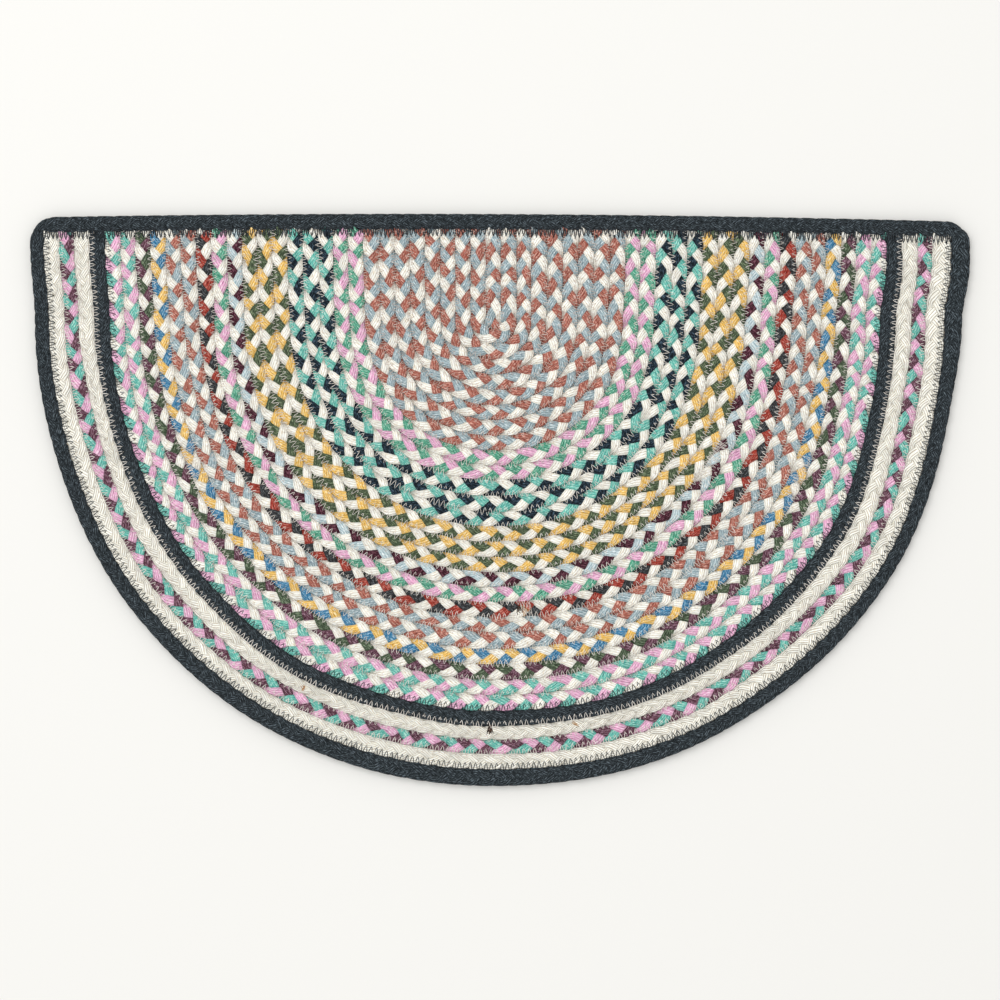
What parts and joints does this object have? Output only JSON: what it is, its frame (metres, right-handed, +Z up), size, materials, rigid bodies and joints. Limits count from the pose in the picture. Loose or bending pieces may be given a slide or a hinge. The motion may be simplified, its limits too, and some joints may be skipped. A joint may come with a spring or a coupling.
{
  "type": "doormat",
  "caption": "Half-moon doormat of flat plaited jute braids sewn edge to edge in U-shaped rows round a straight spine, with a dark border braid.",
  "frame": {"origin": "middle of the mat's bounding box on its underside, where it meets the floor", "axes": "+X along the straight edge, +Y towards the straight edge, +Z up through the thickness"},
  "size_m": [0.7398, 0.4502, 0.008],
  "materials": {
    "charcoal_jute": "matt plaited jute yarn, heathered charcoal",
    "cream_jute": "matt plaited jute yarn, bleached cream",
    "pink_teal_plum_jute": "matt plaited jute yarn, one strand each of pink, teal and plum",
    "pink_teal_cream_jute": "matt plaited jute yarn, one strand each of pink, teal and cream",
    "plum_green_cream_jute": "matt plaited jute yarn, one strand each of plum, dark green and cream",
    "yellow_blue_cream_jute": "matt plaited jute yarn, one strand each of yellow, blue and cream",
    "terracotta_grey_cream_jute": "matt plaited jute yarn, one strand each of terracotta, grey-blue and cream",
    "red_charcoal_cream_jute": "matt plaited jute yarn, one strand each of red, charcoal and cream",
    "pink_green_cream_jute": "matt plaited jute yarn, one strand each of pink, green and cream",
    "maroon_blue_cream_jute": "matt plaited jute yarn, one strand each of maroon, pale blue and cream",
    "yellow_green_cream_jute": "matt plaited jute yarn, one strand each of yellow, dark green and cream",
    "teal_navy_cream_jute": "matt plaited jute yarn, one strand each of teal, navy and cream"
  },
  "bodies": {
    "root": {"border_braid": "charcoal_jute", "cream_outer_row": "cream_jute", "pink_teal_plum_row": "pink_teal_plum_jute", "cream_inner_row": "cream_jute", "charcoal_row": "charcoal_jute", "pink_teal_rows": "pink_teal_cream_jute", "plum_green_row": "plum_green_cream_jute", "yellow_blue_row": "yellow_blue_cream_jute", "terracotta_rows": "terracotta_grey_cream_jute", "red_charcoal_row": "red_charcoal_cream_jute", "pink_green_row": "pink_green_cream_jute", "maroon_blue_row": "maroon_blue_cream_jute", "yellow_green_rows": "yellow_green_cream_jute", "teal_navy_rows": "teal_navy_cream_jute", "pink_green_inner_rows": "pink_green_cream_jute", "terracotta_centre": "terracotta_grey_cream_jute"}
  },
  "joints": []
}
